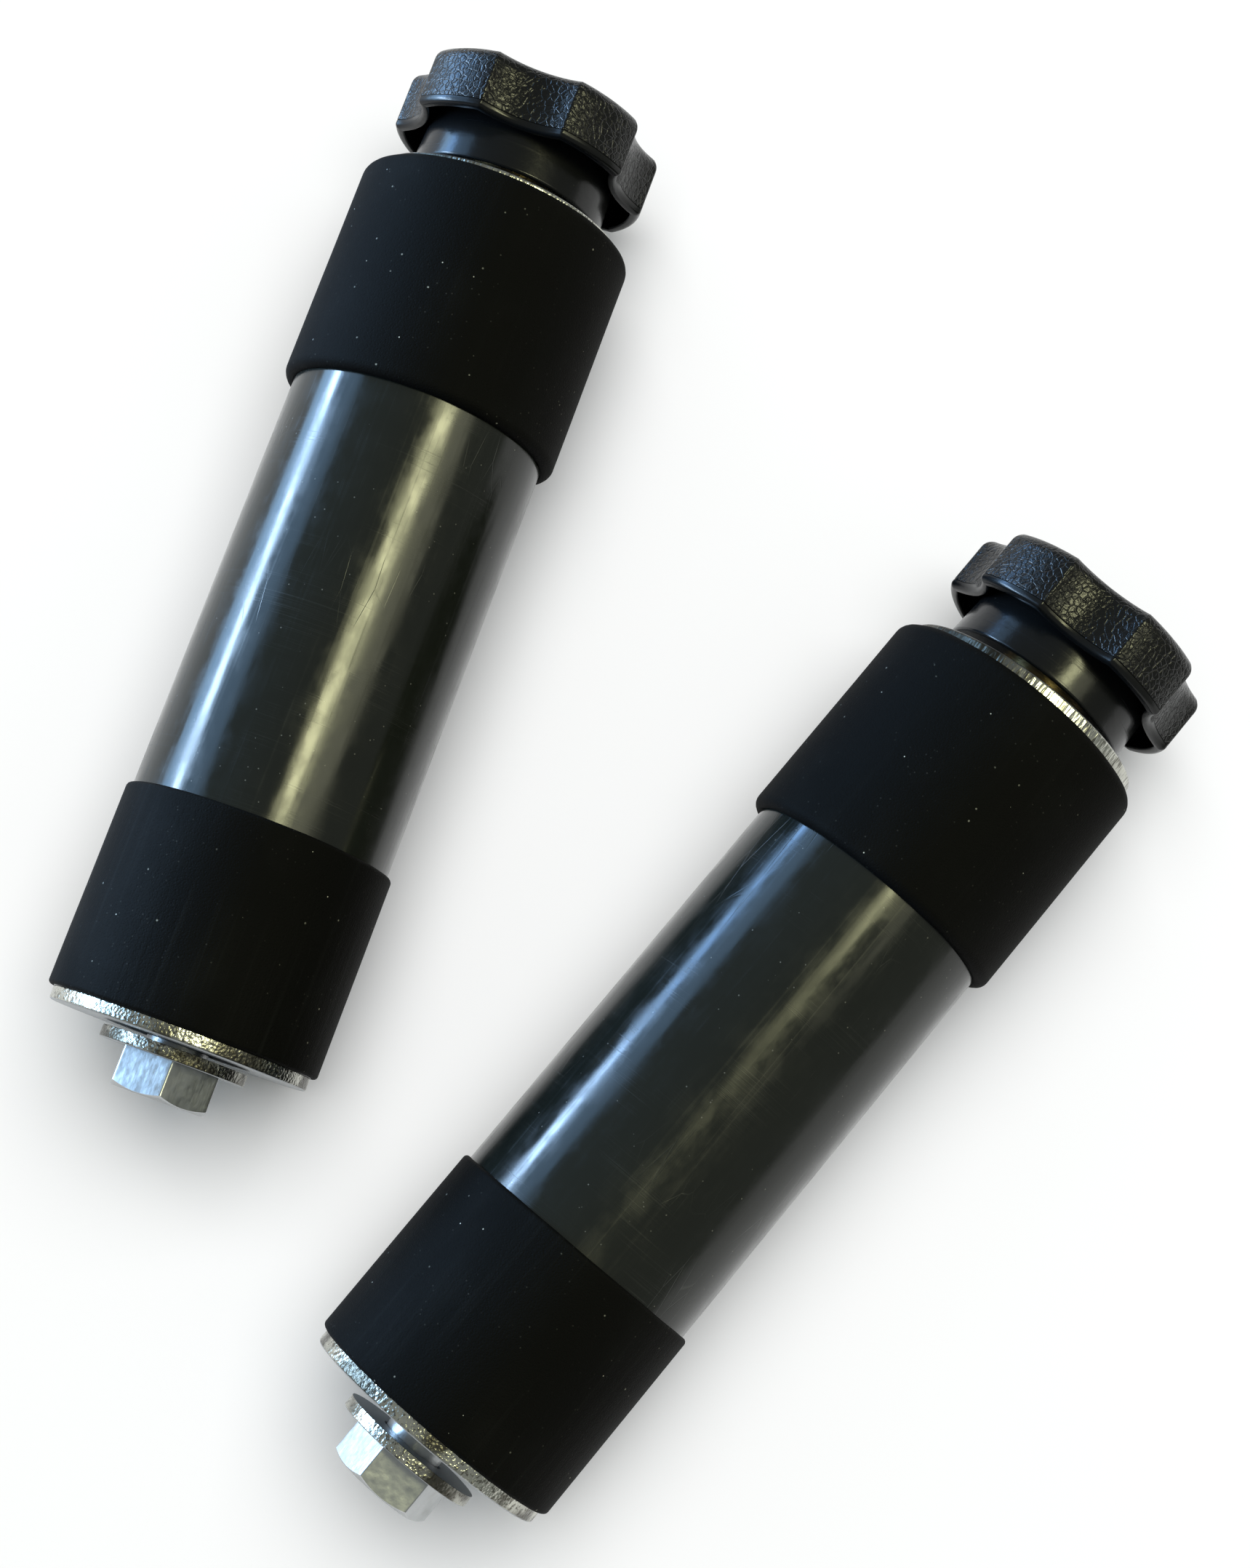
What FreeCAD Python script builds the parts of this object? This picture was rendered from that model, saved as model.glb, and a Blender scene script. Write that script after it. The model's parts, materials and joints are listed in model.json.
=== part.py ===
import FreeCAD, Part
import Sketcher
import math
import os

# A pair of hand-held training sticks, lying side by side on a level surface.
#
# Each stick is a length of pressure pipe with a rubber sleeve stretched over each end.  A long hex
# bolt runs through it, wide washers close both ends of the pipe, and a five-lobed knob with a
# threaded insert screws onto the bolt's end.  Turning the knob draws the bolt in and clamps the ends.
#
# Every piece is modelled about its own Z axis, which runs from the bolt's head to the knob, with its
# X axis up when the stick lies on the surface.  The pair stands on Z = 0 with the origin under the
# middle of its box.  All sizes are in millimetres and degrees.

SIZES = {
    # pipe
    "pipe_diameter": 50.0,
    "pipe_wall": 3.7,
    "pipe_length": 165.5,
    "pipe_edge_break": 0.5,
    # rubber sleeves
    "lower_sleeve_wall": 1.1,
    "lower_sleeve_length": 39.6,
    "lower_sleeve_round": 0.8,
    "upper_sleeve_wall": 2.2,
    "upper_sleeve_length": 44.4,
    "upper_sleeve_round": 1.8,
    "upper_sleeve_proud": 1.5,
    "sleeve_grip": 0.05,
    # washers
    "mouth_clearance": 0.15,
    "wide_washer_thickness": 2.5,
    "small_washer_diameter": 28.0,
    "small_washer_thickness": 2.3,
    "washer_play": 0.5,
    "wide_washer_round": 0.4,
    "small_washer_round": 0.3,
    # through bolt
    "thread_diameter": 12.0,
    "bolt_reach": 17.2,
    "bolt_tip_chamfer": 1.2,
    "head_flats": 18.0,
    "head_height": 7.5,
    "head_chamfer_drop": 1.0,
    # threaded insert
    "insert_wall": 3.0,
    "insert_length": 16.0,
    "insert_proud": 2.6,
    "insert_groove_depth": 1.0,
    "insert_groove_width": 5.0,
    "thread_clearance": 0.05,
    # knob
    "knob_diameter": 50.8,
    "knob_height": 20.2,
    "valley_depth": 3.5,
    "valley_radius": 16.0,
    "lobe_underside": 7.6,
    "lobe_round": 2.8,
    "lobe_wall": 2.0,
    "lobe_roof": 3.2,
    "hub_gap": 1.4,
    "hub_taper": 0.9,
    "hub_edge_round": 0.6,
    "tip_clearance": 1.2,
    "tip_room_clearance": 0.4,
}

LOBES = 5

# How each stick lies: where the lower end of its axis stands, the heading of the axis towards the
# knob, the slack left under the bolt's head, the gap between the knob's insert and the top washer,
# the turn of one valley of the knob and of one corner of the bolt's head from straight up, and how
# far and which way the top washer leans.
STICKS = {
    "left": {
        "start": (-80.4, 48.2),
        "heading": 70.3,
        "head_slack": 0.9,
        "knob_gap": 0.05,
        "valley_turn": 3.8,
        "head_turn": 12.0,
        "washer_lean": 0.0,
        "lean_turn": 0.0,
    },
    "right": {
        "start": (-33.4, -20.9),
        "heading": 50.1,
        "head_slack": 3.3,
        "knob_gap": 0.14,
        "valley_turn": -1.2,
        "head_turn": 41.0,
        "washer_lean": 1.8,
        "lean_turn": 62.0,
    },
}

doc = FreeCAD.newDocument("training_sticks")
sheet = doc.addObject("Spreadsheet::Sheet", "Sizes")
for row, (alias, number) in enumerate(SIZES.items(), start=1):
    sheet.set("A%d" % row, alias.replace("_", " "))
    sheet.set("B%d" % row, str(number))
    sheet.setAlias("B%d" % row, alias)
doc.recompute()

# Sizes that follow from the driving ones.
PIPE_RADIUS = "Sizes.pipe_diameter / 2"
THREAD_RADIUS = "Sizes.thread_diameter / 2"
HEAD_CORNER = "Sizes.head_flats / sqrt(3)"
WIDE_WASHER_RADIUS = "(%s - Sizes.mouth_clearance)" % PIPE_RADIUS
SMALL_WASHER_RADIUS = "Sizes.small_washer_diameter / 2"
BOLT_LENGTH = ("(Sizes.pipe_length + 2 * Sizes.wide_washer_thickness"
               " + Sizes.small_washer_thickness + Sizes.bolt_reach)")
INSERT_RADIUS = "(%s + Sizes.insert_wall)" % THREAD_RADIUS
HUB_TOP_RADIUS = ("(Sizes.knob_diameter / 2 - Sizes.valley_depth - Sizes.lobe_wall"
                  " - Sizes.hub_gap)")
TIP_ROOM_DEPTH = "(Sizes.bolt_reach - Sizes.insert_proud + Sizes.tip_clearance)"


def size(alias):
    return float(getattr(sheet, alias))


def wide_washer_radius():
    return size("pipe_diameter") / 2 - size("mouth_clearance")


def hub_base_radius():
    return (size("knob_diameter") / 2 - size("valley_depth") - size("lobe_wall")
            - size("hub_gap") + size("hub_taper"))


# --- sketch and feature helpers -----------------------------------------------------------------

def new_body(label):
    body = doc.addObject("PartDesign::Body", label)
    body.Label = label
    return body


def new_sketch(body, name, role):
    sketch = body.newObject("Sketcher::SketchObject", name)
    plane = [item for item in body.Origin.OriginFeatures if item.Role == role][0]
    sketch.AttachmentSupport = [(plane, "")]
    sketch.MapMode = "FlatFace"
    return sketch


def bind(sketch, constraint, expression):
    index = sketch.addConstraint(constraint)
    sketch.setExpression("Constraints[%d]" % index, expression)


def add_circle(sketch, radius):
    """A circle about the piece's axis; radius is an expression."""
    circle = Part.Circle(FreeCAD.Vector(0, 0, 0), FreeCAD.Vector(0, 0, 1), 1.0)
    index = sketch.addGeometry(circle, False)
    sketch.addConstraint(Sketcher.Constraint("Coincident", index, 3, -1, 1))
    bind(sketch, Sketcher.Constraint("Radius", index, 1.0), radius)


def add_polygon(sketch, corners):
    """A closed outline of straight lines; each corner is a pair of expressions, x and y."""
    count = len(corners)
    rough = [FreeCAD.Vector(math.cos(2 * math.pi * i / count) + 2, math.sin(2 * math.pi * i / count), 0)
             for i in range(count)]
    for i in range(count):
        sketch.addGeometry(Part.LineSegment(rough[i], rough[(i + 1) % count]), False)
    for i in range(count):
        sketch.addConstraint(Sketcher.Constraint("Coincident", i, 2, (i + 1) % count, 1))
    for i, (across, along) in enumerate(corners):
        if across == "0":
            sketch.addConstraint(Sketcher.Constraint("PointOnObject", i, 1, -2))
        else:
            bind(sketch, Sketcher.Constraint("DistanceX", -1, 1, i, 1, rough[i].x), across)
        if along == "0":
            sketch.addConstraint(Sketcher.Constraint("PointOnObject", i, 1, -1))
        else:
            bind(sketch, Sketcher.Constraint("DistanceY", -1, 1, i, 1, rough[i].y), along)


def add_pad(body, name, sketch, length):
    pad = body.newObject("PartDesign::Pad", name)
    pad.Profile = sketch
    pad.setExpression("Length", length)
    sketch.Visibility = False
    doc.recompute()
    return pad


def add_turned(body, name, corners, kind="PartDesign::Revolution"):
    """A solid, or a Groove, turned about Z from an outline of (radius, height) expressions."""
    sketch = new_sketch(body, name + "_outline", "XZ_Plane")
    add_polygon(sketch, corners)
    doc.recompute()
    turned = body.newObject(kind, name)
    turned.Profile = sketch
    turned.ReferenceAxis = (sketch, ["V_Axis"])
    turned.Angle = 360
    sketch.Visibility = False
    doc.recompute()
    return turned


def round_edges(body, name, base, edges, radius):
    fillet = body.newObject("PartDesign::Fillet", name)
    fillet.Base = (base, edges)
    fillet.setExpression("Radius", radius)
    doc.recompute()
    return fillet


def circles_of(feature, radius, height=None):
    """Names of a feature's circular edges that have this radius, at this height if one is given."""
    names = []
    for number, edge in enumerate(feature.Shape.Edges, start=1):
        if not isinstance(edge.Curve, Part.Circle):
            continue
        if abs(edge.Curve.Radius - radius) > 0.01:
            continue
        if height is not None and abs(edge.Curve.Center.z - height) > 0.01:
            continue
        names.append("Edge%d" % number)
    return names


def rim_of(feature):
    """Names of the two widest circular edges of a ring."""
    widest = max(edge.Curve.Radius for edge in feature.Shape.Edges if isinstance(edge.Curve, Part.Circle))
    return circles_of(feature, widest)


def highest_face(feature):
    faces = feature.Shape.Faces
    top = max(range(len(faces)), key=lambda i: faces[i].CenterOfMass.z)
    return "Face%d" % (top + 1)


# --- pieces -------------------------------------------------------------------------------------

def ring(label, outer, inner, length):
    """A plain ring with its lower face at zero, and its last feature."""
    body = new_body(label)
    sketch = new_sketch(body, label + "_section", "XY_Plane")
    add_circle(sketch, outer)
    add_circle(sketch, inner)
    return body, add_pad(body, label + "_length", sketch, length)


def make_tube(label):
    body, pipe = ring(label, PIPE_RADIUS, PIPE_RADIUS + " - Sizes.pipe_wall", "Sizes.pipe_length")
    chamfer = body.newObject("PartDesign::Chamfer", label + "_edge_break")
    chamfer.Base = (pipe, rim_of(pipe))
    chamfer.setExpression("Size", "Sizes.pipe_edge_break")
    return body


def make_sleeve(label, wall, length, edge_round):
    """A rubber sleeve whose bore is a little under the pipe's size, so that it grips."""
    body, sleeve = ring(label, PIPE_RADIUS + " + Sizes." + wall,
                        PIPE_RADIUS + " - Sizes.sleeve_grip", "Sizes." + length)
    round_edges(body, label + "_round", sleeve, rim_of(sleeve), "Sizes." + edge_round)
    return body


def make_washer(label, outer, thickness, edge_round):
    """A flat punched washer with its outer edges rolled over."""
    body, washer = ring(label, outer, THREAD_RADIUS + " + Sizes.washer_play", "Sizes." + thickness)
    round_edges(body, label + "_round", washer, rim_of(washer), "Sizes." + edge_round)
    return body


def make_bolt(label):
    """A hex bolt: the head hangs below zero and the shank rises from zero."""
    body = new_body(label)
    section = new_sketch(body, label + "_hexagon", "XY_Plane")
    corners = []
    for i in range(6):
        angle = 60 * i
        corners.append(("%s * cos(%d)" % (HEAD_CORNER, angle), "%s * sin(%d)" % (HEAD_CORNER, angle)))
    add_polygon(section, corners)
    head = add_pad(body, label + "_head", section, "Sizes.head_height")
    head.Reversed = True
    # the head's corners are turned off at 30 degrees, by a cutter that runs 1 mm past them
    low = "-Sizes.head_height"
    add_turned(body, label + "_head_chamfer", [
        (HEAD_CORNER + " - Sizes.head_chamfer_drop * sqrt(3)", low),
        (HEAD_CORNER + " + 1", low),
        (HEAD_CORNER + " + 1", low + " + Sizes.head_chamfer_drop + 1 / sqrt(3)"),
    ], "PartDesign::Groove")
    add_turned(body, label + "_shank", [
        ("0", "0"),
        (THREAD_RADIUS, "0"),
        (THREAD_RADIUS, BOLT_LENGTH + " - Sizes.bolt_tip_chamfer"),
        (THREAD_RADIUS + " - Sizes.bolt_tip_chamfer", BOLT_LENGTH),
        ("0", BOLT_LENGTH),
    ])
    return body


def insert_outline(inner):
    """The insert's outline about its seat face at zero, with the groove that locks it in the knob."""
    waist = INSERT_RADIUS + " - Sizes.insert_groove_depth"
    middle = "(Sizes.insert_length + Sizes.insert_proud) / 2"
    low = middle + " - Sizes.insert_groove_width / 2"
    high = middle + " + Sizes.insert_groove_width / 2"
    top = "Sizes.insert_length"
    return [(inner, "0"), (INSERT_RADIUS, "0"), (INSERT_RADIUS, low), (waist, low), (waist, high),
            (INSERT_RADIUS, high), (INSERT_RADIUS, top), (inner, top)]


def make_insert(label):
    """A brass bush with a plain bore in place of its thread."""
    body = new_body(label)
    add_turned(body, label + "_bush", insert_outline(THREAD_RADIUS + " + Sizes.thread_clearance"))
    return body


def add_lobed_outline(sketch, inset):
    """The knob's outline: lobes on the outer circle, with a scooped valley between each pair.

    inset moves the whole outline inwards by one wall; both it and the radii are expressions.
    """
    outer = "Sizes.knob_diameter / 2 - " + inset
    scoop = "Sizes.valley_radius + " + inset
    reach = "(Sizes.knob_diameter / 2 - Sizes.valley_depth + Sizes.valley_radius)"
    step = 360.0 / LOBES
    moved = 0.0 if inset == "0" else size(inset.replace("Sizes.", ""))
    r_outer = size("knob_diameter") / 2 - moved
    r_scoop = size("valley_radius") + moved
    r_reach = size("knob_diameter") / 2 - size("valley_depth") + size("valley_radius")
    # where a valley meets a lobe, seen from the knob's axis and from the scoop's own centre
    crease = math.acos((r_reach ** 2 + r_outer ** 2 - r_scoop ** 2) / (2 * r_reach * r_outer))
    sweep = math.acos((r_reach ** 2 + r_scoop ** 2 - r_outer ** 2) / (2 * r_reach * r_scoop))
    up = FreeCAD.Vector(0, 0, 1)
    for i in range(LOBES):
        turn = math.radians(step * i)
        centre = FreeCAD.Vector(r_reach * math.cos(turn), r_reach * math.sin(turn), 0)
        valley = Part.ArcOfCircle(Part.Circle(centre, up, r_scoop),
                                  turn + math.pi - sweep, turn + math.pi + sweep)
        lobe = Part.ArcOfCircle(Part.Circle(FreeCAD.Vector(0, 0, 0), up, r_outer),
                                turn + crease, turn + math.radians(step) - crease)
        sketch.addGeometry(valley, False)
        sketch.addGeometry(lobe, False)
    for i in range(LOBES):
        valley = 2 * i
        lobe = 2 * i + 1
        turn = "%g" % (step * i)
        centre = sketch.Geometry[valley].Center
        sketch.addConstraint(Sketcher.Constraint("Coincident", lobe, 3, -1, 1))
        sketch.addConstraint(Sketcher.Constraint("Coincident", valley, 1, lobe, 1))
        sketch.addConstraint(Sketcher.Constraint("Coincident", lobe, 2, (lobe + 1) % (2 * LOBES), 2))
        bind(sketch, Sketcher.Constraint("Radius", lobe, r_outer), outer)
        bind(sketch, Sketcher.Constraint("Radius", valley, r_scoop), scoop)
        bind(sketch, Sketcher.Constraint("DistanceX", -1, 1, valley, 3, centre.x),
             "%s * cos(%s)" % (reach, turn))
        if i == 0:
            sketch.addConstraint(Sketcher.Constraint("PointOnObject", valley, 3, -1))
        else:
            bind(sketch, Sketcher.Constraint("DistanceY", -1, 1, valley, 3, centre.y),
                 "%s * sin(%s)" % (reach, turn))


def raise_sketch(sketch, height):
    sketch.setExpression("AttachmentOffset.Base.z", height)


def make_knob(label):
    """A moulded knob, hollow round its hub, with the hub's lower face at zero."""
    body = new_body(label)
    outline = new_sketch(body, label + "_lobes", "XY_Plane")
    raise_sketch(outline, "Sizes.lobe_underside")
    add_lobed_outline(outline, "0")
    lobes = add_pad(body, label + "_crown", outline, "Sizes.knob_height - Sizes.lobe_underside")
    round_edges(body, label + "_crown_round", lobes, [highest_face(lobes)], "Sizes.lobe_round")

    hollow = new_sketch(body, label + "_hollow", "XY_Plane")
    raise_sketch(hollow, "Sizes.lobe_underside")
    add_lobed_outline(hollow, "Sizes.lobe_wall")
    cavity = body.newObject("PartDesign::Pocket", label + "_cavity")
    cavity.Profile = hollow
    cavity.Reversed = True
    cavity.setExpression("Length", "Sizes.knob_height - Sizes.lobe_underside - Sizes.lobe_roof")
    doc.recompute()

    top = "Sizes.knob_height - Sizes.lobe_roof"
    hub = add_turned(body, label + "_hub", [
        ("0", "0"),
        (HUB_TOP_RADIUS + " + Sizes.hub_taper", "0"),
        (HUB_TOP_RADIUS, top),
        ("0", top),
    ])
    rim = circles_of(hub, hub_base_radius(), 0.0)
    round_edges(body, label + "_hub_round", hub, rim, "Sizes.hub_edge_round")

    # the insert's own outline, filled in, so that the plastic closes on it
    lowered = [(x, "%s - Sizes.insert_proud" % z) for x, z in insert_outline("0")]
    add_turned(body, label + "_insert_seat", lowered, "PartDesign::Groove")
    tip_room = THREAD_RADIUS + " + Sizes.tip_room_clearance"
    add_turned(body, label + "_tip_room", [
        ("0", "0"),
        (tip_room, "0"),
        (tip_room, TIP_ROOM_DEPTH),
        ("0", TIP_ROOM_DEPTH),
    ], "PartDesign::Groove")
    return body


# --- assembly -----------------------------------------------------------------------------------

def lying_frame(stick):
    """The stick's own axes in the pair's frame, with its two sleeves resting on Z = 0.

    The upper sleeve is the thicker one, so the stick tips up towards the knob.  Each sleeve touches
    the surface with a rounded edge: the lower end of the lower sleeve and that of the upper sleeve.
    """
    low_round = size("lower_sleeve_round")
    high_round = size("upper_sleeve_round")
    low_reach = size("pipe_diameter") / 2 + size("lower_sleeve_wall") - low_round
    high_reach = size("pipe_diameter") / 2 + size("upper_sleeve_wall") - high_round
    along = upper_sleeve_start() + high_round - low_round
    tilt = math.atan2(high_reach - low_reach, along) + math.asin(
        (high_round - low_round) / math.hypot(high_reach - low_reach, along))
    start_height = (low_reach * math.cos(tilt) + low_round) - low_round * math.sin(tilt)
    heading = math.radians(stick["heading"])
    axis = FreeCAD.Vector(math.cos(heading) * math.cos(tilt), math.sin(heading) * math.cos(tilt),
                          math.sin(tilt))
    side = FreeCAD.Vector(math.sin(heading), -math.cos(heading), 0)
    turned = FreeCAD.Rotation(side.cross(axis), side, axis, "ZYX")
    start = FreeCAD.Vector(stick["start"][0], stick["start"][1], start_height)
    return FreeCAD.Placement(start, turned)


def upper_sleeve_start():
    return size("pipe_length") + size("upper_sleeve_proud") - size("upper_sleeve_length")


def along_axis(height, turn=0.0):
    spin = FreeCAD.Rotation(FreeCAD.Vector(0, 0, 1), turn)
    return FreeCAD.Placement(FreeCAD.Vector(0, 0, height), spin)


def askew_washer(stick):
    """The top washer's place: one edge on the pipe's end, the other lifted off it by the lean."""
    lift = wide_washer_radius() * math.sin(math.radians(stick["washer_lean"]))
    lean = FreeCAD.Placement(FreeCAD.Vector(0, 0, 0),
                             FreeCAD.Rotation(FreeCAD.Vector(0, 1, 0), -stick["washer_lean"]))
    back = FreeCAD.Rotation(FreeCAD.Vector(0, 0, 1), -stick["lean_turn"])
    return (along_axis(size("pipe_length") + lift, stick["lean_turn"]) * lean
            * FreeCAD.Placement(FreeCAD.Vector(0, 0, 0), back))


def make_stick(side, stick):
    """All the pieces of one stick, each with its place along the stick's axis."""
    under_head = (size("wide_washer_thickness") + stick["head_slack"]
                  + size("small_washer_thickness"))
    insert_radius = size("thread_diameter") / 2 + size("insert_wall")
    washer_rise = (wide_washer_radius() + insert_radius) * math.sin(math.radians(stick["washer_lean"]))
    seat_face = (size("pipe_length") + size("wide_washer_thickness") + washer_rise
                 + stick["knob_gap"])
    bolt_place = along_axis(-under_head, stick["head_turn"])
    knob_place = along_axis(seat_face + size("insert_proud"), stick["valley_turn"])
    pieces = [
        (make_tube(side + "_tube"), along_axis(0)),
        (make_sleeve(side + "_lower_sleeve", "lower_sleeve_wall", "lower_sleeve_length",
                     "lower_sleeve_round"), along_axis(0)),
        (make_sleeve(side + "_upper_sleeve", "upper_sleeve_wall", "upper_sleeve_length",
                     "upper_sleeve_round"), along_axis(upper_sleeve_start())),
        (make_washer(side + "_base_washer", WIDE_WASHER_RADIUS, "wide_washer_thickness",
                     "wide_washer_round"), along_axis(-size("wide_washer_thickness"))),
        (make_washer(side + "_top_washer", WIDE_WASHER_RADIUS, "wide_washer_thickness",
                     "wide_washer_round"), askew_washer(stick)),
        (make_washer(side + "_small_washer", SMALL_WASHER_RADIUS, "small_washer_thickness",
                     "small_washer_round"), along_axis(-under_head)),
        (make_bolt(side + "_through_bolt"), bolt_place),
        (make_knob(side + "_knob"), knob_place),
        (make_insert(side + "_knob_insert"), along_axis(seat_face, stick["valley_turn"])),
    ]
    frame = lying_frame(stick)
    for body, place in pieces:
        body.Placement = frame * place
    return [body for body, place in pieces]


nodes = []
for side, stick in STICKS.items():
    nodes += make_stick(side, stick)
doc.recompute()

# the origin goes under the middle of the pair's box
box = FreeCAD.BoundBox()
for body in nodes:
    box.add(body.Shape.optimalBoundingBox(False, False))
middle = FreeCAD.Placement(FreeCAD.Vector(-box.Center.x, -box.Center.y, -box.ZMin), FreeCAD.Rotation())
for body in nodes:
    body.Placement = middle * body.Placement
doc.recompute()

for item in doc.Objects:
    if "Invalid" in item.State or "Error" in item.State:
        raise RuntimeError("%s did not compute: %s" % (item.Label, item.State))
for body in nodes:
    if body.Shape.isNull() or not body.Shape.isValid() or len(body.Shape.Solids) != 1:
        raise RuntimeError("%s is not one valid solid" % body.Label)

os.makedirs("parts", exist_ok=True)
for body in nodes:
    body.Shape.exportStep("parts/%s.step" % body.Label)
    print("%-22s %10.1f mm3" % (body.Label, body.Shape.Volume))
print("box %.2f x %.2f x %.2f mm" % (box.XLength, box.YLength, box.ZLength))
print("middle of the box before the shift: %.4f, %.4f mm" % (box.Center.x, box.Center.y))
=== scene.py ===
import json
import math

import bmesh
import bpy
from mathutils import Matrix, Vector, noise


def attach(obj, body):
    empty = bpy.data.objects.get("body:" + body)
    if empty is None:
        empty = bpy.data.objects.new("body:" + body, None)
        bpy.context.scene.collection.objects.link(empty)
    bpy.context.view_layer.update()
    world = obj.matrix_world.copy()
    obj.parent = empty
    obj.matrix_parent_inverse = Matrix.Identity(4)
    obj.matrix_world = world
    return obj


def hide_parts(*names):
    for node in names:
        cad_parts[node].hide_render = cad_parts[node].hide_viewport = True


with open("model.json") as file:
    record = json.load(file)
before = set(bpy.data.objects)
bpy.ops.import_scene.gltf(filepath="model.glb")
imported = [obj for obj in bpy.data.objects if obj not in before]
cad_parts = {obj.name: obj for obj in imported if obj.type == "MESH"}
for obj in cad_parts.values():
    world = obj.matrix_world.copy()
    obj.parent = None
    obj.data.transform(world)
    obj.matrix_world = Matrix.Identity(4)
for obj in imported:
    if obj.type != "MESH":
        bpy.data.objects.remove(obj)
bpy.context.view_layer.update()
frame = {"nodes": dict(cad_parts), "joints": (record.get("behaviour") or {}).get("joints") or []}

# A pair of training sticks: pipe, rubber sleeves, zinc washers, a through bolt and a lobed knob.
# Every piece is made about its stick's own axis, Z from the bolt's head to the knob and X up, and
# is then laid in its place.  Lengths are in metres.

MM = 0.001

PIPE_RADIUS = 25.0 * MM
PIPE_BORE = 21.3 * MM
PIPE_END_ROUND = 0.4 * MM
LOWER_SLEEVE_ROUND = 0.8 * MM
UPPER_SLEEVE_ROUND = 1.8 * MM
SLEEVE_MOUTH_ROUND = 0.35 * MM
SLEEVE_RIPPLE = 0.07 * MM
SLEEVE_CUT_WAVE = 0.16 * MM
SLEEVE_RIPPLE_SCALE = 55.0
SLEEVE_CUT_SCALE = 130.0
SLEEVE_CUT_DRIFT = 9.0
SLEEVE_CUT_FADE = 6
SLEEVE_BANDS = 24
SLEEVE_GRIP = 0.05 * MM

WASHER_HOLE = 6.5 * MM
WASHER_ROLL = 0.55 * MM
WASHER_BURR = 0.12 * MM
SMALL_WASHER_ROLL = 0.35 * MM
RIM_TEAR = 0.05 * MM
RIM_TEAR_SCALE = 2600.0
RIM_TEAR_STRETCH = 0.3
RIM_STEEPNESS = 0.5
RIM_STEPS = 480
RIM_BANDS = 6
# tears per metre of the rim's thickness: the top washers' run right across it
RIM_GRAIN = 1100
TOP_RIM_GRAIN = 260
# where a top washer's rim turns from painted shade to plain zinc, measured towards its unshaded side
RIM_PAINTED_SHADE_TO = -7.0 * MM
RIM_UNSHADED_FROM = 3.0 * MM
RIM_SHADE_EDGE_WANDER = 6.0 * MM
TOP_WASHER_LEAN = {"left": 0.0, "right": math.radians(1.8)}
TOP_WASHER_LEAN_TURN = {"left": 0.0, "right": math.radians(62.0)}

SHANK_RADIUS = 6.0 * MM
THREAD_PITCH = 1.75 * MM
THREAD_ROOT = 5.05 * MM
THREAD_SUNK = 0.2 * MM
THREAD_FLANK = 0.44 * THREAD_PITCH
THREAD_CREST = 0.07 * THREAD_PITCH
THREAD_LENGTH = 36.0 * MM
THREAD_STEPS = 48
TIP_CHAMFER = 1.2 * MM
TIP_RADIUS = 4.32 * MM
HEAD_FLATS = 18.0 * MM
HEAD_CHAMFER_ANGLE = math.radians(30)
HEAD_FACE_RADIUS = 8.66 * MM
HEAD_EDGE_ROUND = 0.25 * MM
# a multiple of six, so that a step falls on each of the head's corners
BOLT_STEPS = 96
HEAD_TURN = {"left": math.radians(12.0), "right": math.radians(41.0)}

LOBES = 5
KNOB_RADIUS = 25.4 * MM
KNOB_HEIGHT = 20.2 * MM
VALLEY_DEPTH = 3.5 * MM
VALLEY_RADIUS = 16.0 * MM
LOBE_UNDERSIDE = 7.6 * MM
LOBE_ROUND = 2.8 * MM
LOBE_WALL = 2.0 * MM
LOBE_ROOF = 3.2 * MM
LIP_ROUND = 1.0 * MM
LIP_MOUTH_ROUND = 0.4 * MM
TOP_RING_INSET = 3.64 * MM
CREASE_ANGLE = math.radians(12)
CREASE_ROUND = 0.25 * MM
# an edge of the crown that turns less than this about the axis runs up its side
UPRIGHT_TURN = 0.03
HUB_EDGE_ROUND = 0.6 * MM
HUB_MOUTH_ROUND = 0.35 * MM
VALLEY_STEPS = 40
LOBE_STEPS = 36
SIDE_STEPS = 6
PARTING_HEIGHT = 1.5 * MM
PARTING_GROOVE = 0.12 * MM
# the parting line's groove as (depth, height), in groove sizes from its middle
GROOVE_OUTLINE = [(0, -1), (1, -0.5), (1.4, 0), (0.6, 0.6), (0, 1.6)]
HUB_BASE_RADIUS = 19.4 * MM
HUB_TOP_RADIUS = 18.5 * MM
INSERT_RADIUS = 9.0 * MM
INSERT_DEPTH = 13.4 * MM
TIP_ROOM_RADIUS = 6.4 * MM
TIP_ROOM_DEPTH = 15.8 * MM
VALLEY_TURN = {"left": math.radians(3.8), "right": math.radians(-1.2)}

# the second stick reads its finish further along, so that no two pieces share their scratches
GRAIN_SHIFT = {"left": 0.0, "right": 0.45}
ROUND_STEPS = 256
SHARP_ANGLE = math.radians(35)
NEAR = 1e-6

FLOOR_HALF_WIDTH = 4.0
FLOOR_DROP = 0.05 * MM


# --- places from the frame ------------------------------------------------------------------------

def stick_place(side):
    """The matrix that lays a stick's own axes in the frame, its pipe's lower end at zero."""
    hinge = [joint for joint in frame["joints"] if joint["name"] == side + "_knob_turn"][0]
    axis = -Vector(hinge["axis"]).normalized()
    across = axis.cross(Vector((0, 0, 1))).normalized()
    up = across.cross(axis)
    turned = Matrix((up, across, axis)).transposed().to_4x4()
    place = Matrix.Translation(Vector(hinge["pos_m"])) @ turned
    pipe_low = span(side + "_tube", place)[0]
    return place @ Matrix.Translation((0, 0, pipe_low))


def span(node, place):
    """How far a CAD node reaches down and up the stick's axis."""
    to_stick = place.inverted()
    heights = [(to_stick @ vertex.co).z for vertex in frame["nodes"][node].data.vertices]
    return min(heights), max(heights)


def reach(node, place):
    """A CAD node's largest radius about the stick's axis."""
    to_stick = place.inverted()
    return max((to_stick @ vertex.co).xy.length for vertex in frame["nodes"][node].data.vertices)


# --- turned and lobed shapes ----------------------------------------------------------------------

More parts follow.
